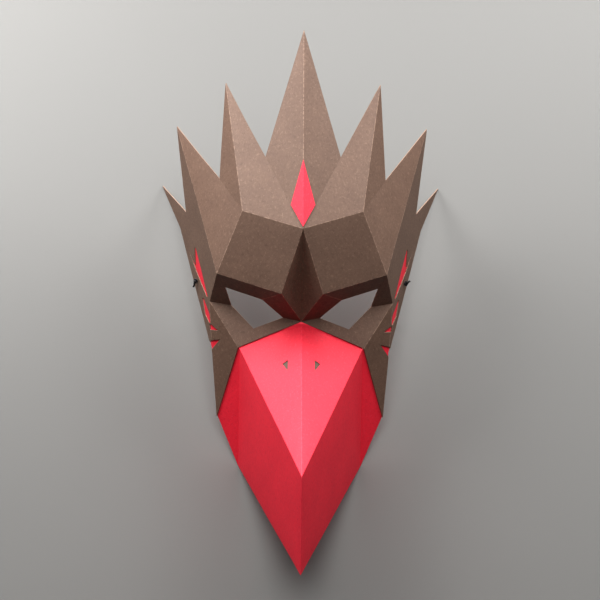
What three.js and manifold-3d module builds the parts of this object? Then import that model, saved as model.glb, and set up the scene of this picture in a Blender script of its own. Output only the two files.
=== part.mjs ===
// A crow mask folded from card: a brown face with a crown of seven pointed feathers, and a red beak.
// It lies face up, on the tips of its two rear feathers and on the two corners of its beak's rim.
// Sizes are in millimetres.
import * as THREE from 'three';
import { mergeVertices } from 'three/addons/utils/BufferGeometryUtils.js';
import Module from 'manifold-3d';

const wasm = await Module();
wasm.setup();

// Card
const card = 0.7;
const thinCard = 0.5;
const gap = 0.3;
const tabWidth = 5;
const noseTabSlant = 6;
const noseTuck = 1.6;
const jawTabSlant = 5;
const jawTabFootSlant = 12;

// Elastic cord
const cordDiameter = 1.2;
const cordSides = 8;
const cordSteps = 72;
const cordHole = cordDiameter + 2 * gap;
const cordHoleSides = 12;
const drillLength = 30;
const knotDiameter = 3;
const knotLift = 1.2;
const rightTailLength = 3.4;
const leftTailLength = 4.3;
const rightTail = [0.8, 0.45, -0.35];
const leftTail = [0.35, -0.85, -0.35];

const brown = '#86685a';
const red = '#c62236';
const black = '#111012';

const mattRoughness = 0.85;
function matt(color) {
  return new THREE.MeshStandardMaterial({ color, roughness: mattRoughness, metalness: 0 });
}

const at = (x, y, z) => new THREE.Vector3(x, y, z);

// The point at x, y in the plane through three corners.
function onPlane([a, b, c], x, y) {
  const n = b.clone().sub(a).cross(c.clone().sub(a));
  return at(x, y, a.z - (n.x * (x - a.x) + n.y * (y - a.y)) / n.z);
}

// The point at y, z in the plane through three corners.
function beside([a, b, c], y, z) {
  const n = b.clone().sub(a).cross(c.clone().sub(a));
  return at(a.x - (n.y * (y - a.y) + n.z * (z - a.z)) / n.x, y, z);
}

// Corners of the right half as the mask is worn: x outwards, y up from the eyes, z forwards.
// Crown and brow.
const browPeak = at(0, 46.4, 107);
const browTop = at(38.3, 58, 89.5);
const browInner = at(13.1, 5.4, 101.5);
const browOuter = onPlane([browPeak, browTop, browInner], 54, 18.2);
const centreTip = at(0, 175.8, 61);
const innerTip = at(50.3, 142.1, 50);
const outerTip = at(83.4, 116.7, 10);
const innerNotch = onPlane([browPeak, browTop, innerTip], 24, 92.7);
const outerNotch = onPlane([browTop, browOuter, outerTip], 53.5, 79.1);

// Side, one flat sheet from the outer feather back to the rear feather.
const temple = at(80.7, 49.3, 0);
const side = [outerTip, browOuter, temple];
const rearNotch = beside(side, 59.4, 17.7);
const rearTip = beside(side, 79.5, -40.4);
const socketCorner = beside(side, 0.3, 60.3);
const rimCorner = beside(side, -32.5, 57.7);

// Nose, cheek and eye socket.
const noseTop = at(0, -12.1, 81.5);
const cheekCorner = at(40.2, -28.9, 73);
const cheek = [socketCorner, noseTop, cheekCorner];
const eyeOuter = onPlane(cheek, 45.1, -2.2);
const eyeLow = onPlane(cheek, 30.5, -16.8);
const eyeInner = onPlane(cheek, 11.7, -9.7);
const eyeTopOuter = onPlane([browOuter, socketCorner, eyeOuter], 49.1, 9.6);
const eyeTopInner = onPlane([browOuter, browInner, eyeTopOuter], 25.2, 1.8);

// Lower side and beak.
const lowerSide = [socketCorner, cheekCorner, rimCorner];
const jaw = onPlane(lowerSide, 53.6, -73.5);
const beakRidgeEnd = at(0, -105.3, 169);
const beakTip = at(0, -165, 157);
const beakRimBend = onPlane([cheekCorner, beakRidgeEnd, beakTip], 40.3, -105.5);

const faceFacets = [
  [centreTip, browPeak, innerNotch],
  [browPeak, browTop, innerTip, innerNotch],
  [browTop, outerNotch, innerTip],
  [browTop, browOuter, outerTip, outerNotch],
  [browOuter, socketCorner, rimCorner, temple, rearTip, rearNotch, outerTip],
  [browPeak, browInner, browOuter, browTop],
  [browPeak, noseTop, browInner],
  [noseTop, eyeInner, eyeTopInner, browInner],
  [browInner, eyeTopInner, eyeTopOuter, browOuter],
  [browOuter, eyeTopOuter, eyeOuter, socketCorner],
  [socketCorner, eyeOuter, eyeLow, eyeInner, noseTop, cheekCorner],
  [socketCorner, cheekCorner, jaw, rimCorner],
];

// A glue tab along a fold, on the side of the corner `towards`, with slanting ends.
function tab(from, to, towards, startSlant, endSlant) {
  const along = to.clone().sub(from).normalize();
  const across = towards.clone().sub(from);
  across.addScaledVector(along, -across.dot(along)).setLength(tabWidth);
  const farEnd = to.clone().addScaledVector(along, -endSlant).add(across);
  const nearEnd = from.clone().addScaledVector(along, startSlant).add(across);
  return [from, to, farEnd, nearEnd];
}

// The beak's ridge runs on a little way under the nose, so that no gap opens at its top.
const beakTop = noseTop.clone().add(noseTop.clone().sub(beakRidgeEnd).setLength(noseTuck));
const beakFacets = [
  [beakTop, beakRidgeEnd, cheekCorner],
  [cheekCorner, beakRidgeEnd, beakTip, beakRimBend],
  [cheekCorner, beakRimBend, jaw],
  tab(beakTop, cheekCorner, eyeLow, noseTabSlant, noseTabSlant),
  tab(cheekCorner, jaw, rimCorner, jawTabSlant, jawTabFootSlant),
];

// Each corner has one mirror image, so that both halves share the corners on the middle line.
const mirrorImages = new Map();
function mirrored(corner) {
  if (corner.x === 0) return corner;
  if (!mirrorImages.has(corner)) {
    mirrorImages.set(corner, at(-corner.x, corner.y, corner.z));
  }
  return mirrorImages.get(corner);
}
const mirroredFacets = (facets) => facets.map((facet) => facet.map(mirrored).reverse());
const bothHalves = (facets) => [...facets, ...mirroredFacets(facets)];

function facetNormal(facet) {
  const normal = at(0, 0, 0);
  facet.forEach((corner, i) => {
    normal.add(corner.clone().cross(facet[(i + 1) % facet.length]));
  });
  return normal.normalize();
}

// The step from a corner that goes in by 1 through all of its facets at once, by least squares.
function inwardStep(normals) {
  const tiny = 1e-6;
  const m = new THREE.Matrix3();
  const sum = at(0, 0, 0);
  const e = [tiny, 0, 0, 0, tiny, 0, 0, 0, tiny];
  for (const n of normals) {
    const v = n.toArray();
    for (let row = 0; row < 3; row++) {
      for (let column = 0; column < 3; column++) e[3 * row + column] += v[row] * v[column];
    }
    sum.add(n);
  }
  m.set(...e).invert();
  return sum.applyMatrix3(m).negate();
}

// Folded card as a closed body, from `depth` to `depth + thickness` under the facets.
function foldedCard(facets, depth, thickness) {
  const normalsAt = new Map();
  for (const facet of facets) {
    const normal = facetNormal(facet);
    for (const corner of facet) {
      normalsAt.set(corner, [...(normalsAt.get(corner) ?? []), normal]);
    }
  }
  const corners = [...normalsAt.keys()];
  const indexOf = new Map(corners.map((corner, i) => [corner, i]));
  const positions = [];
  for (const level of [depth, depth + thickness]) {
    for (const corner of corners) {
      const step = inwardStep(normalsAt.get(corner));
      positions.push(...corner.clone().addScaledVector(step, level).toArray());
    }
  }
  const under = corners.length;
  const triangles = [];
  const edges = new Set();
  for (const facet of facets) {
    const normal = facetNormal(facet);
    const u = facet[1].clone().sub(facet[0]).normalize();
    const v = normal.clone().cross(u);
    const flat = facet.map((corner) => new THREE.Vector2(corner.dot(u), corner.dot(v)));
    const index = facet.map((corner) => indexOf.get(corner));
    for (const [a, b, c] of THREE.ShapeUtils.triangulateShape(flat, [])) {
      triangles.push(index[a], index[b], index[c]);
      triangles.push(under + index[c], under + index[b], under + index[a]);
    }
    index.forEach((start, i) => edges.add(`${start} ${index[(i + 1) % index.length]}`));
  }
  for (const edge of edges) {
    const [a, b] = edge.split(' ').map(Number);
    if (edges.has(`${b} ${a}`)) continue;
    triangles.push(a, under + a, b, b, under + a, under + b);
  }
  const geometry = new THREE.BufferGeometry();
  geometry.setAttribute('position', new THREE.Float32BufferAttribute(positions, 3));
  geometry.setIndex(triangles);
  return geometry;
}

function toSolid(geometry) {
  const plain = geometry.clone();
  plain.deleteAttribute('normal');
  plain.deleteAttribute('uv');
  const merged = mergeVertices(plain, 1e-4);
  return new wasm.Manifold(new wasm.Mesh({
    numProp: 3,
    vertProperties: new Float32Array(merged.attributes.position.array),
    triVerts: new Uint32Array(merged.index.array),
  }));
}

function toGeometry(solid) {
  const mesh = solid.getMesh();
  const geometry = new THREE.BufferGeometry();
  geometry.setAttribute('position', new THREE.Float32BufferAttribute(mesh.vertProperties, 3));
  geometry.setIndex(new THREE.Uint32BufferAttribute(mesh.triVerts, 1));
  return geometry;
}

function cut(geometry, cutters) {
  let solid = toSolid(geometry);
  for (const cutter of cutters) solid = solid.subtract(toSolid(cutter));
  return toGeometry(solid);
}

function mirrorGeometry(geometry) {
  const image = geometry.clone().applyMatrix4(new THREE.Matrix4().makeScale(-1, 1, 1));
  const count = image.attributes.position.count;
  const order = image.index ? [...image.index.array] : [...Array(count).keys()];
  for (let i = 0; i < order.length; i += 3) {
    [order[i], order[i + 1]] = [order[i + 1], order[i]];
  }
  image.setIndex(order);
  return image;
}
const bothSides = (geometries) => [...geometries, ...geometries.map(mirrorGeometry)];

function outline(points) {
  const area = THREE.ShapeUtils.area(points.map(([x, y]) => ({ x, y })));
  const ordered = area < 0 ? [...points].reverse() : points;
  return new THREE.Shape(ordered.map(([x, y]) => new THREE.Vector2(x, y)));
}

// Side cut-outs, each as [z, y] corners seen from the side.
const sideCutStart = 45;
const sideCutEnd = 110;
const templeSlit = [[35.8, 35.3], [33, 35.6], [31.3, 21.2], [53.7, 3], [56.7, 3.5], [45.8, 21]];
const templeBarb = [[18.5, 33.8], [33.5, 19.4], [33.5, 23]];
const cheekSlit = [[46, 2.5], [43, 2.5], [46.3, -8.2], [54.8, -13.8], [58.2, -13.5], [58, -8]];
const cheekFleck = [[59.1, -14.6], [56, -14.4], [56, -17.8], [62.4, -18.4]];
const rightRimNotch = [[48, -30.6], [48, -34.3], [57.7, -34.3], [63.1, -26.8]];
const leftRimNotch = [[48, -26.5], [48, -31.3], [57, -31.3], [62.7, -24.4]];

function sideCutter(corners) {
  const depth = sideCutEnd - sideCutStart;
  const geometry = new THREE.ExtrudeGeometry(outline(corners), { depth, bevelEnabled: false });
  const place = new THREE.Matrix4().makeBasis(at(0, 0, 1), at(0, 1, 0), at(-1, 0, 0));
  return geometry.applyMatrix4(place.setPosition(sideCutEnd, 0, 0));
}

// The elastic's hole through the side, behind the temple slit.
const holeCentre = beside(side, 13.5, 34.3);
const outwards = facetNormal([browOuter, temple, outerTip]);
const turnOutwards = new THREE.Quaternion().setFromUnitVectors(at(0, 1, 0), outwards);
function cordHoleCutter() {
  const radius = cordHole / 2;
  const geometry = new THREE.CylinderGeometry(radius, radius, drillLength, cordHoleSides);
  geometry.applyQuaternion(turnOutwards);
  return geometry.translate(holeCentre.x, holeCentre.y, holeCentre.z);
}

const sideSlitCutters = [templeSlit, templeBarb, cheekSlit, cheekFleck].map(sideCutter);
const faceGeometry = cut(foldedCard(bothHalves(faceFacets), 0, card), [
  ...bothSides([...sideSlitCutters, cordHoleCutter()]),
  sideCutter(rightRimNotch),
  mirrorGeometry(sideCutter(leftRimNotch)),
]);

// Nostrils, as [x, y] corners seen from the front.
const nostril = [[12, -38.4], [8.4, -36], [8.5, -42.2]];
const nostrilCutStart = 80;
const nostrilCutEnd = 130;
function nostrilCutter() {
  const depth = nostrilCutEnd - nostrilCutStart;
  const geometry = new THREE.ExtrudeGeometry(outline(nostril), { depth, bevelEnabled: false });
  return geometry.translate(0, 0, nostrilCutStart);
}

// The beak lies under the brown card, which it is glued behind.
const beakDepth = card + gap;
const beakGeometry = cut(
  foldedCard(bothHalves(beakFacets), beakDepth, card),
  bothSides([nostrilCutter()]),
);

const beakRoof = [beakTop, cheekCorner, beakRidgeEnd];
const nostrilBack = [[4, -31], [4, -46], [13, -46], [17, -40], [13, -34]]
  .map(([x, y]) => onPlane(beakRoof, x, y));
const nostrilDepth = beakDepth + card + gap;

// The forehead kite sits on the middle fold of the centre feather.
const centreFeather = [centreTip, browPeak, innerNotch];
const kiteTop = onPlane(centreFeather, 0, 90.3);
const kiteSide = onPlane(centreFeather, 7.4, 61.5);
const kiteFoot = onPlane(centreFeather, 0, 47.3);
const kiteHeight = gap + thinCard;
const kiteFacets = bothHalves([[kiteTop, kiteFoot, kiteSide]]);
const kiteGeometry = foldedCard(kiteFacets, -kiteHeight, thinCard);

// The red lining behind the side's cut-outs follows the fold between side and lower side.
const foldPoint = (y) => socketCorner.clone().lerp(
  rimCorner, (socketCorner.y - y) / (socketCorner.y - rimCorner.y));
const rimPoint = (y, inset) => {
  const p = temple.clone().lerp(rimCorner, (temple.y - y) / (temple.y - rimCorner.y));
  return beside(side, p.y, p.z + inset);
};
const liningFoldTop = foldPoint(-4);
const liningFoldFoot = foldPoint(-32);
const liningFacets = [
  [
    beside(side, 40, 38), rimPoint(37, 4), rimPoint(0, 1.2), rimPoint(-28.5, 0.2),
    liningFoldFoot, liningFoldTop, beside(side, -1, 58), beside(side, 5, 58), beside(side, 12, 56),
  ].reverse(),
  [
    liningFoldTop, onPlane(lowerSide, 52, -11), onPlane(lowerSide, 48.5, -27),
    onPlane(lowerSide, 50, -36.5), onPlane(lowerSide, 56.4, -36.5), liningFoldFoot,
  ],
];
const liningGeometry = cut(foldedCard(liningFacets, beakDepth, thinCard), [cordHoleCutter()]);

const nostrilLining = foldedCard([nostrilBack], nostrilDepth, thinCard);

function part(name, geometry, color) {
  const mesh = new THREE.Mesh(geometry, matt(color));
  mesh.name = name;
  return mesh;
}

const worn = new THREE.Group();
worn.add(
  part('face', faceGeometry, brown),
  part('beak', beakGeometry, red),
  part('forehead_diamond', kiteGeometry, red),
  part('side_lining_right', liningGeometry, red),
  part('side_lining_left', mirrorGeometry(liningGeometry), red),
  part('nostril_lining_right', nostrilLining, brown),
  part('nostril_lining_left', mirrorGeometry(nostrilLining), brown),
);

// Lying down: turned about x until the rear tips and the beak's rim corners share the table.
const cornerReach = 4;
const lieRounds = 4;
function lowestNear(geometry, corner, angle) {
  const position = geometry.attributes.position;
  let lowest = null;
  for (let i = 0; i < position.count; i++) {
    const point = new THREE.Vector3().fromBufferAttribute(position, i);
    if (point.distanceTo(corner) > cornerReach) continue;
    const height = point.y * Math.sin(angle) + point.z * Math.cos(angle);
    if (!lowest || height < lowest.height) lowest = { height, point };
  }
  return lowest.point;
}
let lieAngle = 0;
for (let i = 0; i < lieRounds; i++) {
  const rear = lowestNear(faceGeometry, rearTip, lieAngle);
  const front = lowestNear(beakGeometry, beakRimBend, lieAngle);
  lieAngle = Math.atan2(front.z - rear.z, rear.y - front.y);
}
worn.rotation.x = lieAngle;
worn.updateMatrixWorld(true);
const box = new THREE.Box3().setFromObject(worn, true);
worn.position.set(0, -(box.min.y + box.max.y) / 2, -box.min.z);
worn.updateMatrixWorld(true);

// The elastic runs in through one hole, down inside the mask, round its hollow and up to the other
// hole. Route of the right half in the lying position, from the hole to the middle of the loop.
const cordRoute = [
  [67.73, 40.87, 35.7], [64.86, 41.47, 35.07], [62.1, 42, 34.3], [59.7, 42.3, 32.2],
  [58.3, 41.9, 28.3], [57.7, 40.4, 22], [57.3, 37.8, 14], [56.7, 33.6, 6.6],
  [55.6, 28.4, 2.4], [54.1, 22, 1.1], [51.6, 8, 0.8], [47, -10, 0.75],
  [40.5, -28, 0.75], [31, -43, 0.75], [17, -53.5, 0.75], [0, -57, 0.75],
];
const rightRoute = cordRoute.map((p) => at(...p));
const leftRoute = cordRoute.slice(0, -1).reverse().map(([x, y, z]) => at(-x, y, z));
const cordCurve = new THREE.CatmullRomCurve3([...rightRoute, ...leftRoute], false, 'centripetal');

function roundSection(radius, sides) {
  const points = [];
  for (let i = 0; i < sides; i++) {
    const turn = 2 * Math.PI * i / sides;
    points.push(new THREE.Vector2(radius * Math.cos(turn), radius * Math.sin(turn)));
  }
  return new THREE.Shape(points);
}

const elasticSection = roundSection(cordDiameter / 2, cordSides);
const elasticGeometry = new THREE.ExtrudeGeometry(elasticSection, {
  steps: cordSteps, extrudePath: cordCurve, bevelEnabled: false,
});

// A knot outside the hole, a lump with a flat back and one short tail that points along `tail`.
function knot(tail, tailLength) {
  const lump = new THREE.IcosahedronGeometry(knotDiameter / 2, 1);
  const middle = holeCentre.clone().addScaledVector(outwards, knotLift);
  lump.translate(middle.x, middle.y, middle.z);
  const radius = cordDiameter / 2;
  const end = new THREE.CylinderGeometry(radius, radius, tailLength, cordSides);
  end.translate(0, tailLength / 2, 0);
  const direction = at(...tail).normalize();
  end.applyQuaternion(new THREE.Quaternion().setFromUnitVectors(at(0, 1, 0), direction));
  end.translate(middle.x, middle.y, middle.z);
  const block = 4 * knotDiameter;
  const behind = new THREE.BoxGeometry(block, block, block);
  behind.translate(0, gap - block / 2, 0);
  behind.applyQuaternion(turnOutwards);
  behind.translate(holeCentre.x, holeCentre.y, holeCentre.z);
  return toGeometry(toSolid(lump).add(toSolid(end)).subtract(toSolid(behind)));
}
worn.add(
  part('elastic_knot_right', knot(rightTail, rightTailLength), black),
  part('elastic_knot_left', mirrorGeometry(knot(leftTail, leftTailLength)), black),
);

const mask = new THREE.Group();
mask.add(worn, part('elastic', elasticGeometry, black));

export default mask;
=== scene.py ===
# %% [markdown]
# # A crow mask folded from card
#
# The object is a mask that covers a whole face. It is cut from two colours of stiff card, scored, folded
# and glued: a brown face with a crown of seven feathers, and a red beak. A round black elastic holds it on
# a head. Here it lies face up, on the tips of its two rear feathers and on the two corners of the beak's
# rim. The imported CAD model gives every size. Blender adds what card and cord look like close up.

import math

import bmesh
import bpy
from mathutils import Matrix, Vector, noise


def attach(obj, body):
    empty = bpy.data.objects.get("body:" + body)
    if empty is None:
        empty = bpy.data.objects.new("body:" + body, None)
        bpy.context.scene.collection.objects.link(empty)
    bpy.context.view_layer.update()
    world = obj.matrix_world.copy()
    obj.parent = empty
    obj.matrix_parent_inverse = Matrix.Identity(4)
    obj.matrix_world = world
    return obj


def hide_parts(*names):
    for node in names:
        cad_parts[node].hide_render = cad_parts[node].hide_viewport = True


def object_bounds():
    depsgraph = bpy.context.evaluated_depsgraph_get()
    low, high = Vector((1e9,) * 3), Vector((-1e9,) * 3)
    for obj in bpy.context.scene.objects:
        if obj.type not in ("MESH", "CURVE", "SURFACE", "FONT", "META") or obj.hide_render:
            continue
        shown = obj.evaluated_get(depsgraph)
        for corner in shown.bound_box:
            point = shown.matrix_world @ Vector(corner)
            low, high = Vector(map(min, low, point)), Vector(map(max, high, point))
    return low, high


MM = 0.001

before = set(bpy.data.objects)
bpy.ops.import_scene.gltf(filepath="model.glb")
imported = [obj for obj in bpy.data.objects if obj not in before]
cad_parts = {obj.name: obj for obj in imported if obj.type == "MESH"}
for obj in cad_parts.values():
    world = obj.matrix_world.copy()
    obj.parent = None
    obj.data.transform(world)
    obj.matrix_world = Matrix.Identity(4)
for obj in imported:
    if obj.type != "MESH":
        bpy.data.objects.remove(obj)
cad_low, cad_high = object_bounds()
print("CAD box, mm:", [round(v / MM, 1) for v in cad_low], [round(v / MM, 1) for v in cad_high])

# %% [markdown]
# ## The camera
#
# The mask is seen straight from its front, from 1.45 m before the eyes. Because it lies on its back, that
# front points up and a little towards its beak, so the camera looks steeply down. A long lens keeps the
# beak, which is nearest, from looking too big. Nobody holds a camera quite level, so it is turned and
# rolled by a fraction of a degree. A constraint could aim it, but a fixed place and turn are simpler.

# %% Camera
IMAGE_SIDE = 600
SENSOR_MM = 36.0
FOCAL_PIXELS = 2266.0
FRONT_TILT = math.radians(27.6448)
CAMERA_YAW = math.radians(0.78)
CAMERA_ROLL = math.radians(0.61)
CAMERA_PLACE = Vector((-0.0197, -0.6604, 1.3454))
MIDDLE_PIXEL = (301.4, 302.9)

camera_data = bpy.data.cameras.new("camera")
camera_data.sensor_width = SENSOR_MM
camera_data.lens = FOCAL_PIXELS / IMAGE_SIDE * SENSOR_MM
camera_data.shift_x = (IMAGE_SIDE / 2 - MIDDLE_PIXEL[0]) / IMAGE_SIDE
camera_data.shift_y = (MIDDLE_PIXEL[1] - IMAGE_SIDE / 2) / IMAGE_SIDE
camera = bpy.data.objects.new("camera", camera_data)
bpy.context.scene.collection.objects.link(camera)
front = Matrix.Rotation(FRONT_TILT, 4, "X")
look = front @ Matrix.Rotation(-CAMERA_YAW, 4, "Y") @ Matrix.Rotation(CAMERA_ROLL, 4, "Z")
camera.matrix_world = Matrix.Translation(CAMERA_PLACE) @ look
bpy.context.scene.camera = camera
print("lens, mm:", round(camera_data.lens, 1))

# %% [markdown]
# ## Colours and nodes
#
# Colours are picked from a picture as sRGB, but Blender's shaders count light, so each hex value is turned
# linear once, by one function. A second small function adds a node with its settings and links. With it a
# material reads from top to bottom like a recipe. Nodes could be added by hand in the editor too, but a
# script makes three kinds of card from one recipe.

# %% Helpers for colours and nodes
def linear(hex_colour):
    """A colour such as "#7b6355" as linear RGBA."""
    parts = [int(hex_colour[i : i + 2], 16) / 255 for i in (1, 3, 5)]
    return [c / 12.92 if c <= 0.04045 else ((c + 0.055) / 1.055) ** 2.4 for c in parts] + [1.0]


def add(tree, kind, values=None, **settings):
    """A new node. Each value goes to the input of that name or number, as a constant or as a link."""
    made = tree.nodes.new(kind)
    for name, setting in settings.items():
        setattr(made, name, setting)
    for name, value in (values or {}).items():
        if isinstance(value, bpy.types.NodeSocket):
            tree.links.new(value, made.inputs[name])
        else:
            made.inputs[name].default_value = value
    return made


def new_material(name):
    """An empty node material, and its tree."""
    material = bpy.data.materials.new(name)
    material.use_nodes = True
    material.node_tree.nodes.clear()
    return material, material.node_tree


def per_metre(size_mm):
    """The scale of a noise whose features are about this size, for coordinates in metres."""
    return 1 / (size_mm * MM)


print("brown as linear:", [round(c, 3) for c in linear("#7b6355")])

# %% [markdown]
# ## Dyed card
#
# Each sheet is uncoated card of about 0.7 mm, dyed through while it was pulp. Its surface is matt and a
# little hairy: long fibres lie in every direction, short ends of others make pale and dark flecks, and the
# dye is cloudy. A picture could show all that, but noise in Object coordinates has no seams, costs no file
# and has its true size in millimetres. Fibres of 0.1 mm can't be seen from here, so they are drawn coarser.

# %% The grain of card
# For each noise, how large its features are in millimetres, and how detailed it is.
NOISES = {
    "cloud": (18.0, 3.0),
    "mottle": (2.2, 3.0),
    "dark": (1.6, 1.0),
    "pale": (1.5, 1.0),
    "tooth": (0.45, 2.0),
}
FIBRE_WIDTH_MM = 0.45
FIBRE_LENGTH_MM = 3.2
FIBRE_TURNS = (0.3, 1.4, 2.5)
FIBRE_SLANT = 0.7


def card_grain(tree):
    """The patterns of uncoated card by name: its noises, and the nap of its long fibres."""
    place = add(tree, "ShaderNodeTexCoord").outputs["Object"]
    grain = {}
    for name, (size_mm, detail) in NOISES.items():
        values = {"Vector": place, "Scale": per_metre(size_mm), "Detail": detail}
        grain[name] = add(tree, "ShaderNodeTexNoise", values).outputs["Fac"]
    across, along = per_metre(FIBRE_WIDTH_MM), per_metre(FIBRE_LENGTH_MM)
    for turn in FIBRE_TURNS:
        values = {"Rotation": (turn, turn * FIBRE_SLANT, turn), "Scale": (across, along, across)}
        lie = add(tree, "ShaderNodeMapping", {"Vector": place, **values}).outputs[0]
        fibre = add(tree, "ShaderNodeTexNoise", {"Vector": lie, "Scale": 1.0, "Detail": 1.0}).outputs["Fac"]
        if "nap" in grain:
            fibre = add(tree, "ShaderNodeMath", {0: grain["nap"], 1: fibre}, operation="MAXIMUM").outputs[0]
        grain["nap"] = fibre
    return grain


print("noises of card, mm:", {name: size_mm for name, (size_mm, _) in NOISES.items()})

# %% [markdown]
# ## From grain to colour
#
# Where the sheet is scored and folded its fibres stand up and rub, so a ridge shows as a thin pale line,
# broken where the rubbing missed it. A cut edge of the brown card is a little paler, partly for the rough
# fibre of a cut and partly as a painted highlight, and one of the red card a little darker. The material
# lays these colours over each other like coats of paint, each with its own mask. The masks of ridges and cut
# edges are attributes that the meshes carry, because a pattern can't know where a fold is. The scraps behind
# the nostrils are the brown card again, coloured darker as painted shade because no light falls straight on
# them.

# %% Card material
CARD_IOR = 1.5
CARD_SPECULAR = 0.6
TOOTH_STRENGTH = 0.35
TOOTH_DEPTH_MM = 0.06


def dyed_card(name, body, deep, pale, ridge, cut):
    """Uncoated card dyed in the pulp: cloudy, flecked with fibres, matt, with rubbed ridges."""
    material, tree = new_material(name)
    grain = card_grain(tree)
    dye = add(tree, "ShaderNodeMath", {0: grain["cloud"], 1: grain["mottle"]}, operation="ADD").outputs[0]
    masks = {}
    # Each mask stretches the range from low to high of a pattern to a range of strengths.
    for mask, value, low, high, to_low, to_high in (
        ("dye", dye, 0.7, 1.3, 0.34, 0.0),
        ("hair", grain["nap"], 0.66, 0.8, 0.0, 0.4),
        ("dark_flecks", grain["dark"], 0.6, 0.72, 0.0, 0.34),
        ("pale_flecks", grain["pale"], 0.61, 0.73, 0.0, 0.22),
        ("rub", grain["mottle"], 0.4, 0.6, 0.1, 0.6),
        ("roughness", grain["tooth"], 0.3, 0.7, 0.56, 0.7),
    ):
        values = {"Value": value, "From Min": low, "From Max": high, "To Min": to_low, "To Max": to_high}
        masks[mask] = add(tree, "ShaderNodeMapRange", values).outputs[0]
    fold_wear = add(tree, "ShaderNodeAttribute", attribute_name="fold_wear").outputs["Fac"]
    worn = add(tree, "ShaderNodeMath", {0: fold_wear, 1: masks["rub"]}, operation="MULTIPLY").outputs[0]
    cut_edge = add(tree, "ShaderNodeAttribute", attribute_name="cut_edge").outputs["Fac"]

    colour = linear(body)
    # Each coat lies on those before it.
    for mask, coat in (
        (masks["dye"], deep),
        (masks["hair"], pale),
        (masks["dark_flecks"], deep),
        (masks["pale_flecks"], pale),
        (worn, ridge),
        # Cut edges get their own colour. On the brown card it is paler, partly for the rough fibre of a cut
        # and partly as a painted highlight. On the red card it is darker.
        (cut_edge, cut),
    ):
        values = {0: mask, 6: colour, 7: linear(coat)}
        colour = add(tree, "ShaderNodeMix", values, data_type="RGBA").outputs[2]

    relief = add(tree, "ShaderNodeMath", {0: grain["tooth"], 1: grain["nap"]}, operation="ADD").outputs[0]
    values = {"Height": relief, "Strength": TOOTH_STRENGTH, "Distance": TOOTH_DEPTH_MM * MM}
    bump = add(tree, "ShaderNodeBump", values).outputs[0]
    values = {"Base Color": colour, "Roughness": masks["roughness"], "Normal": bump}
    values |= {"IOR": CARD_IOR, "Specular IOR Level": CARD_SPECULAR}
    shader = add(tree, "ShaderNodeBsdfPrincipled", values)
    add(tree, "ShaderNodeOutputMaterial", {"Surface": shader.outputs[0]})
    return material


brown_card = dyed_card("brown_dyed_card", "#7b6355", "#5b463b", "#a58b78", "#b19887", "#856c5c")
red_card = dyed_card("red_dyed_card", "#f2374e", "#d52a42", "#f65e71", "#f55267", "#c72f44")
# Painted shade: the nostril scraps are the brown card coloured darker, for the shade in their recess.
shaded_brown_card = dyed_card("brown_card_painted_shade", "#695345", "#513f38", "#887263", "#887263", "#695345")
print("card materials:", brown_card.name, red_card.name, shaded_brown_card.name)

# %% [markdown]
# ## Braided elastic
#
# The cord is round elastic: rubber strands inside a sleeve of black polyester yarn, braided from yarns that
# wind both ways. The yarns make small diamonds with a soft silky light. They could be modelled one by one,
# but at this size a bump is enough. The pattern has to follow the cord round its bends, so it reads two
# attributes that the cord's mesh carries: how far along it a point is, and where on the ring around it.

# %% Elastic material
YARNS = 8
YARN_PITCH_MM = 0.5
YARN_DEPTH_MM = 0.12
YARN_STRENGTH = 0.8
YARN_SHEEN = 0.15
DULL = 0.75
SILKY = 0.5


def braided_yarn(name):
    """Black polyester yarn braided over rubber: small diamonds, dull between and silky on top."""
    material, tree = new_material(name)
    along = add(tree, "ShaderNodeAttribute", attribute_name="cord_along")
    ring = add(tree, "ShaderNodeAttribute", attribute_name="cord_ring")
    split = add(tree, "ShaderNodeSeparateXYZ", {0: ring.outputs["Vector"]})
    angle = add(tree, "ShaderNodeMath", {0: split.outputs["Y"], 1: split.outputs["X"]}, operation="ARCTAN2")
    turns = add(tree, "ShaderNodeMath", {0: angle.outputs[0], 1: float(YARNS)}, operation="MULTIPLY")
    run = add(
        tree,
        "ShaderNodeMath",
        {0: along.outputs["Fac"], 1: 2 * math.pi / (YARN_PITCH_MM * MM)},
        operation="MULTIPLY",
    )
    waves = []
    for way in ("ADD", "SUBTRACT"):
        phase = add(tree, "ShaderNodeMath", {0: turns.outputs[0], 1: run.outputs[0]}, operation=way)
        waves.append(add(tree, "ShaderNodeMath", {0: phase.outputs[0]}, operation="SINE"))
    weave = add(
        tree, "ShaderNodeMath", {0: waves[0].outputs[0], 1: waves[1].outputs[0]}, operation="MAXIMUM"
    )
    height = add(tree, "ShaderNodeMapRange", {"Value": weave.outputs[0], "From Min": -1.0})
    # Painted shade and highlight: the hollows between the yarns are coloured nearly black and their crowns a
    # lighter grey.
    colour = add(
        tree,
        "ShaderNodeMix",
        {0: height.outputs[0], 6: linear("#070708"), 7: linear("#242327")},
        data_type="RGBA",
    )
    bump = add(
        tree,
        "ShaderNodeBump",
        {"Height": height.outputs[0], "Strength": YARN_STRENGTH, "Distance": YARN_DEPTH_MM * MM},
    )
    gloss = add(tree, "ShaderNodeMapRange", {"Value": weave.outputs[0], "To Min": DULL, "To Max": SILKY})
    shader = add(
        tree,
        "ShaderNodeBsdfPrincipled",
        {
            "Base Color": colour.outputs[2],
            "Roughness": gloss.outputs[0],
            "Normal": bump.outputs[0],
            "Sheen Weight": YARN_SHEEN,
        },
    )
    add(tree, "ShaderNodeOutputMaterial", {"Surface": shader.outputs[0]})
    return material


black_elastic = braided_yarn("black_braided_elastic")
print("elastic material:", black_elastic.name)

# %% [markdown]
# ## The cord as a rule
#
# The elastic and its knots are the same cord on different lines. That is what Geometry Nodes are good at:
# the tree below takes any line, puts a ring round it at every point and notes how far along and where on
# the ring each point is. A curve with a bevel would give the same tube, but not those two notes.

# %% Cord tree
CORD_MM = 1.2
CORD_SIDES = 16


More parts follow.
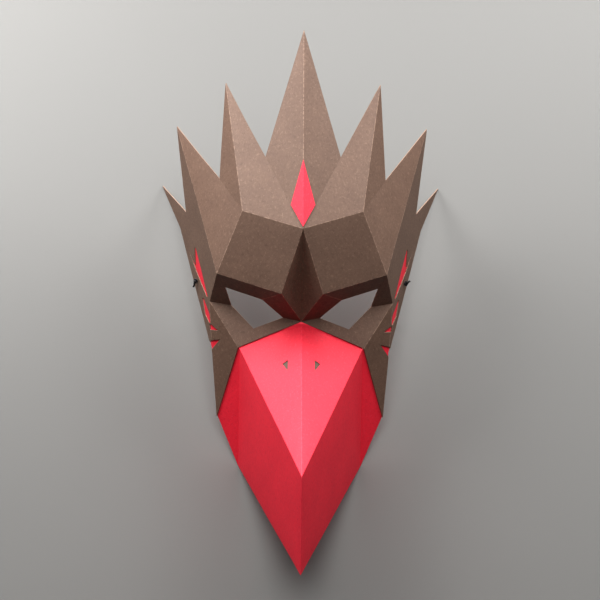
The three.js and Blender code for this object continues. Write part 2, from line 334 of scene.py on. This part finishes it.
def cord_tree():
    """A Geometry Nodes tree that turns a line of edges into a round cord."""
    tree = bpy.data.node_groups.new("round_cord", "GeometryNodeTree")
    sockets = {}
    for name, kind in (
        ("Centreline", "NodeSocketGeometry"),
        ("Diameter", "NodeSocketFloat"),
        ("Sides", "NodeSocketInt"),
        ("Material", "NodeSocketMaterial"),
    ):
        socket = tree.interface.new_socket(name, in_out="INPUT", socket_type=kind)
        sockets[name] = socket.identifier
    tree.interface.new_socket("Cord", in_out="OUTPUT", socket_type="NodeSocketGeometry")

    given = add(tree, "NodeGroupInput").outputs
    line = add(tree, "GeometryNodeMeshToCurve", {"Mesh": given["Centreline"]})
    length = add(tree, "GeometryNodeSplineParameter")
    marked_line = add(
        tree,
        "GeometryNodeStoreNamedAttribute",
        {"Geometry": line.outputs[0], "Name": "cord_along", "Value": length.outputs["Length"]},
        data_type="FLOAT",
        domain="POINT",
    )
    radius = add(tree, "ShaderNodeMath", {0: given["Diameter"], 1: 0.5}, operation="MULTIPLY")
    circle = add(
        tree, "GeometryNodeCurvePrimitiveCircle", {"Resolution": given["Sides"], "Radius": radius.outputs[0]}
    )
    spot = add(tree, "GeometryNodeInputPosition")
    outward = add(tree, "ShaderNodeVectorMath", {0: spot.outputs[0]}, operation="NORMALIZE")
    marked_ring = add(
        tree,
        "GeometryNodeStoreNamedAttribute",
        {"Geometry": circle.outputs[0], "Name": "cord_ring", "Value": outward.outputs[0]},
        data_type="FLOAT_VECTOR",
        domain="POINT",
    )
    tube = add(
        tree,
        "GeometryNodeCurveToMesh",
        {"Curve": marked_line.outputs[0], "Profile Curve": marked_ring.outputs[0], "Fill Caps": True},
    )
    real = add(tree, "GeometryNodeRealizeInstances", {0: tube.outputs[0]})
    dressed = add(
        tree, "GeometryNodeSetMaterial", {"Geometry": real.outputs[0], "Material": given["Material"]}
    )
    add(tree, "NodeGroupOutput", {0: dressed.outputs[0]})
    return tree, sockets


round_cord, cord_inputs = cord_tree()
print("cord tree:", len(round_cord.nodes), "nodes, inputs", sorted(cord_inputs))

# %% [markdown]
# ## Smooth lines
#
# A cord bends smoothly through the points of its route. The function below samples a centripetal
# Catmull-Rom curve, which passes through every point and never makes a loop between two of them. A Bezier
# curve would need two handles at each point.

# %% A smooth line through points
def smooth_line(points, steps):
    """Points on a smooth curve through the given ones, with so many steps from each to the next."""
    ends = [2 * points[0] - points[1], *points, 2 * points[-1] - points[-2]]
    line = []
    for a, b, c, d in zip(ends, ends[1:], ends[2:], ends[3:]):
        t1 = math.sqrt((b - a).length)
        t2 = t1 + math.sqrt((c - b).length)
        t3 = t2 + math.sqrt((d - c).length)
        for i in range(steps):
            t = t1 + (t2 - t1) * i / steps
            ab, bc, cd = a.lerp(b, t / t1), b.lerp(c, (t - t1) / (t2 - t1)), c.lerp(d, (t - t2) / (t3 - t2))
            abc, bcd = ab.lerp(bc, t / t2), bc.lerp(cd, (t - t1) / (t3 - t1))
            line.append(abc.lerp(bcd, (t - t1) / (t2 - t1)))
    return [*line, points[-1].copy()]


corner = [Vector((0, 0, 0)), Vector((1, 0, 0)), Vector((1, 1, 0))]
print("a line round one corner:", len(smooth_line(corner, 4)), "points")

# %% [markdown]
# ## From a line to a plain mesh
#
# The cord tree works as a modifier on the line. The library wants plain meshes, so the function below takes
# the modifier's result and drops the line. Its shading is made smooth except across edges that turn
# sharply, such as the cut end of a cord. Applying the modifier would do as well, but needs a selection.

# %% Helpers for meshes
CORD_SHARP_DEGREES = 50


def sharpen(mesh, degrees):
    """Smooth shading, except across edges that turn by more than this angle."""
    bm = bmesh.new()
    bm.from_mesh(mesh)
    for face in bm.faces:
        face.smooth = True
    for edge in bm.edges:
        edge.smooth = len(edge.link_faces) == 2 and edge.calc_face_angle() < math.radians(degrees)
    bm.to_mesh(mesh)
    bm.free()


def add_piece(name, mesh):
    """A new object at the origin that shows this mesh."""
    piece = bpy.data.objects.new(name, mesh)
    bpy.context.scene.collection.objects.link(piece)
    return piece


def make_cord(name, line):
    """A round black cord on this line, as a plain mesh."""
    mesh = bpy.data.meshes.new(name + "_line")
    mesh.from_pydata(line, [(i, i + 1) for i in range(len(line) - 1)], [])
    guide = add_piece(name + "_line", mesh)
    modifier = guide.modifiers.new("round_cord", "NODES")
    modifier.node_group = round_cord
    modifier[cord_inputs["Diameter"]] = CORD_MM * MM
    modifier[cord_inputs["Sides"]] = CORD_SIDES
    modifier[cord_inputs["Material"]] = black_elastic
    evaluated = guide.evaluated_get(bpy.context.evaluated_depsgraph_get())
    made = bpy.data.meshes.new_from_object(evaluated)
    made.name = name
    bpy.data.objects.remove(guide)
    sharpen(made, CORD_SHARP_DEGREES)
    return add_piece(name, made)


print("cord, mm:", CORD_MM, "with", CORD_SIDES, "sides")

# %% [markdown]
# ## The elastic
#
# Off the head the elastic hangs slack inside the mask. It goes in through the hole at one temple, drops to
# the table, runs round under the mask and comes up to the other hole. A simulation could let it fall, but
# the route below is that of the CAD solid, point for point, so that the cord lies where the solid lies.

# %% Elastic on its route
ROUTE_STEPS = 8
ROUTE_MM = [
    (67.73, 40.87, 35.7), (64.86, 41.47, 35.07), (62.1, 42, 34.3), (59.7, 42.3, 32.2),
    (58.3, 41.9, 28.3), (57.7, 40.4, 22), (57.3, 37.8, 14), (56.7, 33.6, 6.6),
    (55.6, 28.4, 2.4), (54.1, 22, 1.1), (51.6, 8, 0.8), (47, -10, 0.75),
    (40.5, -28, 0.75), (31, -43, 0.75), (17, -53.5, 0.75), (0, -57, 0.75),
]
right_half = [Vector(p) * MM for p in ROUTE_MM]
left_half = [Vector((-p.x, p.y, p.z)) for p in reversed(right_half[:-1])]
elastic_line = smooth_line(right_half + left_half, ROUTE_STEPS)
elastic = make_cord("braided_elastic", elastic_line)

# %% [markdown]
# ## The knots
#
# Outside each temple the elastic ends in an overhand knot that is too big for its hole. A ball would do
# from afar, but a knot's strands show. An overhand knot is an open trefoil: the line winds twice round a
# middle while it goes three times up and down. So one formula gives both knots, and only their tails
# differ. The knot is pulled tight, so its strands press into each other a little. Its line starts with a
# short stem in the hole, runs almost once through the trefoil, climbing a little, and bends into the tail.

# %% Two overhand knots
HOLE_MM = (67.732, 40.871, 35.696)
HOLE_OUTWARD = (0.9571, -0.1999, 0.2099)
STEM_MM = (0.2, 0.7)
KNOT_SCALE_MM = 0.41
KNOT_HEIGHT_MM = 1.5
KNOT_CLIMB_MM = 0.45
KNOT_START = math.pi / 3
KNOT_PART = 0.97
KNOT_STEPS = 40
LINE_STEPS = 4
TAIL_TURN = math.radians(75)
TAIL_FOOT_MM = 1.2
TAIL_BEND = 0.62
TAIL_MM = {"right": 3.4, "left": 4.3}
TAILS = {"right": Vector((0.815, 0.571, -0.103)), "left": Vector((-0.355, -0.6, -0.715))}


def knot_line(hole, outward, tail, tail_mm):
    """The centreline of an overhand knot that sits on a hole, from the hole to the end of its tail."""
    flat_tail = (tail - tail.dot(outward) * outward).normalized()
    across = Matrix.Rotation(-TAIL_TURN, 3, outward) @ flat_tail
    beside = outward.cross(across)
    points = [hole + stem_mm * MM * outward for stem_mm in STEM_MM]
    for i in range(KNOT_STEPS + 1):
        share = i / KNOT_STEPS
        t = KNOT_START + 2 * math.pi * share * KNOT_PART
        x = (math.sin(t) + 2 * math.sin(2 * t)) * KNOT_SCALE_MM
        y = (math.cos(t) - 2 * math.cos(2 * t)) * KNOT_SCALE_MM
        z = KNOT_HEIGHT_MM - math.sin(3 * t) * KNOT_SCALE_MM + KNOT_CLIMB_MM * (2 * share - 1)
        points.append(hole + (x * across + y * beside + z * outward) * MM)
    foot = hole + TAIL_FOOT_MM * MM * outward
    points.append(foot + TAIL_BEND * tail_mm * MM * tail)
    points.append(foot + tail_mm * MM * tail)
    return smooth_line(points, LINE_STEPS)


knots = {}
for side, sign in (("right", 1), ("left", -1)):
    hole = Vector((sign * HOLE_MM[0], *HOLE_MM[1:])) * MM
    outward = Vector((sign * HOLE_OUTWARD[0], *HOLE_OUTWARD[1:])).normalized()
    line = knot_line(hole, outward, TAILS[side].normalized(), TAIL_MM[side])
    knots[side] = make_cord("overhand_knot_" + side, line)
    print(side, "knot:", len(knots[side].data.vertices), "points")

# %% [markdown]
# ## Whole facets
#
# A CAD node comes as loose triangles. To find the folds of the card, each flat part of a sheet has to be
# one facet again, so a copy has its doubles merged and its flat neighbours dissolved. A planar Decimate
# modifier could do that too, but bmesh can go on with the same mesh. Later the facets are sliced into a fine
# grid, because a facet without points inside can't bend.

# %% Helpers for facets
MERGE_MM = 0.003
FLAT_DEGREES = 0.6
GRID_MM = 7.0
SLICE_MM = 0.01


def whole_facets(node):
    """The mesh of a CAD node with its triangles merged into flat facets."""
    bm = bmesh.new()
    bm.from_mesh(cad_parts[node].data)
    bmesh.ops.remove_doubles(bm, verts=bm.verts, dist=MERGE_MM * MM)
    bmesh.ops.dissolve_degenerate(bm, dist=MERGE_MM * MM, edges=bm.edges)
    flat = math.radians(FLAT_DEGREES)
    bmesh.ops.dissolve_limit(bm, angle_limit=flat, verts=bm.verts, edges=bm.edges)
    return bm


def slice_facets(bm):
    """Cuts the mesh along planes a few millimetres apart, so that its facets can bend."""
    for axis in range(3):
        normal = Vector([float(i == axis) for i in range(3)])
        low = min(v.co[axis] for v in bm.verts)
        high = max(v.co[axis] for v in bm.verts)
        for i in range(1, math.ceil((high - low) / (GRID_MM * MM))):
            parts = bm.verts[:] + bm.edges[:] + bm.faces[:]
            place = normal * (low + i * GRID_MM * MM)
            bmesh.ops.bisect_plane(bm, geom=parts, dist=SLICE_MM * MM, plane_co=place, plane_no=normal)


beak = whole_facets("beak")
print("beak:", len(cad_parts["beak"].data.polygons), "triangles make", len(beak.faces), "facets")
beak.free()

# %% [markdown]
# ## Where the large sheets are
#
# A sheet bends between its folds, so they have to be known. One flat side of a sheet may be made of several
# facets because of its cut-outs. The first function walks from facet to facet as long as they lie flat to
# each other, and gives each side a number. The second picks the large sides, because small ones stay flat.
# It finds which way they bulge, away from the hollow behind the mask, and the edges round them. They could be
# picked by hand in Edit Mode, but not again after each change of the model.

# %% Helpers for large sheets
LEAST_SHEET_MM2 = 400
HOLLOW_MIDDLE = Vector((0, 0, 20)) * MM


def sheet_faces(bm, number):
    """Numbers the faces of each flat sheet side, from 1 up, and returns them as lists."""
    sides = []
    for start in bm.faces:
        if start[number]:
            continue
        side = [start]
        start[number] = len(sides) + 1
        for face in side:
            for other in [near for edge in face.edges for near in edge.link_faces]:
                turn = other.normal.angle(start.normal)
                if not other[number] and turn < math.radians(2 * FLAT_DEGREES):
                    other[number] = start[number]
                    side.append(other)
        sides.append(side)
    return sides


def large_sheets(sides, number):
    """For each large sheet side, which way it bulges and the straight edges round it."""
    sheets = {}
    for side in sides:
        area = sum(face.calc_area() for face in side)
        if area < LEAST_SHEET_MM2 * MM * MM:
            continue
        middle = sum((face.calc_center_median() * face.calc_area() for face in side), Vector()) / area
        normal = side[0].normal.copy()
        way = normal if normal.dot(middle - HOLLOW_MIDDLE) > 0 else -normal
        rim = [e for face in side for e in face.edges if len({f[number] for f in e.link_faces}) > 1]
        sheets[side[0][number]] = (way, [(e.verts[0].co.copy(), e.verts[1].co.copy()) for e in rim])
    return sheets


beak = whole_facets("beak")
side_number = beak.faces.layers.int.new("sheet")
beak_sides = sheet_faces(beak, side_number)
print("beak:", len(beak_sides), "flat sides,", len(large_sheets(beak_sides, side_number)), "of them large")
beak.free()

# %% [markdown]
# ## Sheets that bulge
#
# Folded card is never flat. The pull of its folds makes a large facet bulge a little, here by up to 0.3 mm
# and on the beak by 0.8 mm, so that it is brighter at the end towards the light and darker at the other.
# That soft change tells the eye that it looks at card. The first function lifts every point of a sheet by
# its distances to the folds round it, so that the folds stay in place. A cloth simulation could do it too,
# but more slowly. A slow noise then bows everything by a fraction of a millimetre more, because no hand
# folds a sheet evenly. Its seed is fixed, because without one that noise would be different each time.

# %% Helpers for bending sheets
NEAREST_MM = 0.001
BOW_MM = 0.28
BOW_WAVE_MM = 55.0
BOW_SEED = 7


def bulge(bm, number, sheets, slope):
    """Lifts each large sheet off the flat. The slope is how steeply it leaves its folds."""
    lifts = {}
    for face in bm.faces:
        if face[number] not in sheets:
            continue
        way, rim = sheets[face[number]]
        for v in face.verts:
            nearness = 0.0
            for a, b in rim:
                share = min(max((v.co - a).dot(b - a) / (b - a).length_squared, 0.0), 1.0)
                nearness += 1 / max((v.co - a.lerp(b, share)).length, NEAREST_MM * MM)
            lifts[v] = way * slope / nearness
    for v, lift in lifts.items():
        v.co += lift
    return max((lift.length for lift in lifts.values()), default=0.0)


def bow(bm):
    """Moves every point a little along a slow noise, and keeps it in the CAD model's box."""
    noise.seed_set(BOW_SEED)
    for v in bm.verts:
        v.co += noise.noise_vector(v.co / (BOW_WAVE_MM * MM)) * BOW_MM * MM
        v.co = Vector([min(max(v.co[i], cad_low[i]), cad_high[i]) for i in range(3)])


print("bow, mm:", BOW_MM, "over waves of, mm:", BOW_WAVE_MM)

# %% [markdown]
# ## Folds and cut edges
#
# The CAD model has the sheets with their true thickness, but its folds are as sharp as knives, and it keeps
# a gap of 0.3 mm where two sheets are glued. Real scored card turns over a radius of about half its
# thickness, and a glued sheet touches its neighbour. So each piece is pressed by a fraction of a millimetre
# against the sheet it is glued to. A bevel rounds its convex folds and marks the new narrow faces as worn,
# and the narrow faces of the cut edge are marked too. A Bevel modifier could round the folds, but it
# couldn't mark them for the shader.

# %% Helpers for folds and cut edges
FOLD_DEGREES = 7
RIDGE_MM = 0.28
RIDGE_STEPS = 2
RIM_WIDTH_MM = 1.6


def mark_cut_edges(bm, cut):
    """Marks the faces that are only as wide as the card is thick."""
    for face in bm.faces:
        longest = max(edge.calc_length() for edge in face.edges)
        face[cut] = 1.0 if face.calc_area() / longest < RIM_WIDTH_MM * MM / 2 else 0.0


def round_folds(bm, wear, cut, number):
    """Rounds the convex folds between sheets and marks them as worn. Returns how many there are."""
    ridges = [
        edge
        for edge in bm.edges
        if len(edge.link_faces) == 2
        and edge.calc_face_angle_signed() > math.radians(FOLD_DEGREES)
        and not any(face[cut] for face in edge.link_faces)
    ]
    width = {"offset": RIDGE_MM * MM, "offset_type": "OFFSET", "segments": RIDGE_STEPS, "profile": 0.5}
    made = bmesh.ops.bevel(bm, geom=ridges, affect="EDGES", clamp_overlap=False, **width)
    for face in made["faces"]:
        face[wear] = 1.0
        face[cut] = 0.0
        face[number] = 0
    return len(ridges)


print("folds sharper than", FOLD_DEGREES, "degrees get a ridge of, mm:", RIDGE_MM)

# %% [markdown]
# ## Seven pieces of card
#
# The face, the beak, the kite on the forehead, a lining behind the cut-outs of each side and one behind each
# nostril. One function takes a copy of a CAD node through all the steps above, and one loop calls it for
# each piece. A line of the loop says which CAD node the piece is made from, its name, its material, its
# finish, how far it is pressed and how steeply it bulges. A Mirror modifier could save the lines of the
# right side, but then those pieces wouldn't come from their own CAD nodes.

# %% Card pieces from CAD nodes
SHARP_DEGREES = 5
FACE_SLOPE = 0.05
BEAK_SLOPE = 0.08
FLAT = 0.0


def folded_card(name, node, material, press_mm, slope):
    """The card of a CAD node, pressed on, with worn folds, marked cut edges and bulging facets."""
    bm = whole_facets(node)
    for v in bm.verts:
        v.co += Vector(press_mm) * MM
    number = bm.faces.layers.int.new("sheet")
    wear = bm.faces.layers.float.new("fold_wear")
    cut = bm.faces.layers.float.new("cut_edge")
    sheets = large_sheets(sheet_faces(bm, number), number)
    mark_cut_edges(bm, cut)
    folds = round_folds(bm, wear, cut, number)
    slice_facets(bm)
    lift = bulge(bm, number, sheets, slope)
    bow(bm)
    bm.faces.layers.int.remove(number)
    mesh = bpy.data.meshes.new(name)
    bm.to_mesh(mesh)
    bm.free()
    mesh.materials.append(material)
    sharpen(mesh, SHARP_DEGREES)
    print(name, folds, "folds,", len(mesh.polygons), "faces, bulge, mm:", round(lift / MM, 2))
    return add_piece(name, mesh)


card_pieces = {}
for node, name, material, slot, press_mm, slope in (
    ("face", "folded_face", brown_card, "brown_card", (0, 0, 0), FACE_SLOPE),
    ("beak", "folded_beak", red_card, "red_card", (0, -0.12, 0.22), BEAK_SLOPE),
    ("forehead_diamond", "folded_diamond", red_card, "red_card", (0, 0.04, -0.27), FLAT),
    ("side_lining_left", "folded_side_lining_left", red_card, "red_card", (-0.48, 0.1, -0.1), FACE_SLOPE),
    ("side_lining_right", "folded_side_lining_right", red_card, "red_card", (0.48, 0.1, -0.1), FACE_SLOPE),
    ("nostril_lining_left", "flat_nostril_lining_left", shaded_brown_card, "brown_card", (-0.35, -0.05, 0.75), FLAT),
    ("nostril_lining_right", "flat_nostril_lining_right", shaded_brown_card, "brown_card", (0.35, -0.05, 0.75), FLAT),
):
    card_pieces[node] = (folded_card(name, node, material, press_mm, slope), slot)

# %% [markdown]
# ## Floor and light
#
# The mask lies on a plain pale floor, as grey near it as the wall behind the real one. Farther away the
# floor is painted paler, a painted light that stands in for the lamps, whose light falls off there. A wide
# soft light stands beyond its crown, so the facets that lean back are bright and those under the brow are
# dark. A small one near each temple, the left one stronger, keeps the sides
# from going black, one from the front fills the eye sockets, and a grey sky adds a little. Area lights are
# used because their size makes shadows soft, as a studio's lamp with a cloth before it does. The contrasty
# look makes dark facets darker and bright ones brighter, as a pocket camera does.

# %% Floor
CLOUDS_PER_M = 3.0
PALE_FROM_M = 0.5
PALE_TO_M = 2.5
FLOOR_HALF_M = 12.0

floor_material, floor_tree = new_material("pale_floor")
floor_place = add(floor_tree, "ShaderNodeTexCoord").outputs["Object"]
values = {"Vector": floor_place, "Scale": CLOUDS_PER_M, "Detail": 2.0}
floor_clouds = add(floor_tree, "ShaderNodeTexNoise", values).outputs["Fac"]
distance = add(floor_tree, "ShaderNodeVectorMath", {0: floor_place}, operation="LENGTH").outputs["Value"]
values = {"Value": distance, "From Min": PALE_FROM_M, "From Max": PALE_TO_M}
far = add(floor_tree, "ShaderNodeMapRange", values, interpolation_type="SMOOTHSTEP").outputs[0]
floor_colour = linear("#7b7a78")
# Painted light: far from the mask the floor is coloured paler, where the lamps light it less.
for mask, coat in ((floor_clouds, "#82817f"), (far, "#f0f0ee")):
    values = {0: mask, 6: floor_colour, 7: linear(coat)}
    floor_colour = add(floor_tree, "ShaderNodeMix", values, data_type="RGBA").outputs[2]
floor_shader = add(floor_tree, "ShaderNodeBsdfPrincipled", {"Base Color": floor_colour, "Roughness": 0.8})
add(floor_tree, "ShaderNodeOutputMaterial", {"Surface": floor_shader.outputs[0]})

floor_mesh = bpy.data.meshes.new("floor")
corners = [(x * FLOOR_HALF_M, y * FLOOR_HALF_M, 0) for x, y in ((-1, -1), (1, -1), (1, 1), (-1, 1))]
floor_mesh.from_pydata(corners, [], [(0, 1, 2, 3)])
floor_mesh.materials.append(floor_material)
floor = add_piece("floor", floor_mesh)
print("floor, m:", 2 * FLOOR_HALF_M)

# %% Lights
MASK_MIDDLE = Vector((0, 0, 0.06))
SKY_STRENGTH = 0.07

for name, place, size, watts in (
    ("soft_top", (0.0, 1.48, 0.55), 1.3, 31.4),
    ("soft_left", (-0.35, 0.35, 0.35), 0.3, 2.5),
    ("soft_right", (0.35, 0.35, 0.35), 0.3, 1.6),
    ("soft_front", (0.0, 0.08, 1.56), 0.9, 9.9),
):
    light_data = bpy.data.lights.new(name, "AREA")
    light_data.shape = "SQUARE"
    light_data.size = size
    light_data.energy = watts
    light = bpy.data.objects.new(name, light_data)
    bpy.context.scene.collection.objects.link(light)
    light.location = place
    light.rotation_euler = (MASK_MIDDLE - Vector(place)).to_track_quat("-Z", "Y").to_euler()
    light.visible_camera = False
    print(name, "m from the mask:", round((MASK_MIDDLE - Vector(place)).length, 2))

world = bpy.data.worlds.new("studio")
bpy.context.scene.world = world
world.use_nodes = True
sky = world.node_tree.nodes["Background"]
sky.inputs["Color"].default_value = linear("#e6e8ea")
sky.inputs["Strength"].default_value = SKY_STRENGTH
bpy.context.scene.view_settings.view_transform = "Standard"
bpy.context.scene.view_settings.look = "High Contrast"

# %% [markdown]
# ## What moves with what
#
# The mask has no joints, so every piece rides on its one body, the root. Each piece takes the place of
# the CAD node it was made from, and that node is hidden.

# %% Tie the pieces to the CAD model
for node, (piece, slot) in card_pieces.items():
    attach(piece, "root")
    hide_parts(node)
for piece, node in (
    (elastic, "elastic"),
    (knots["left"], "elastic_knot_left"),
    (knots["right"], "elastic_knot_right"),
):
    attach(piece, "root")
    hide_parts(node)
print("pieces tied:", len(card_pieces) + len(knots) + 1)
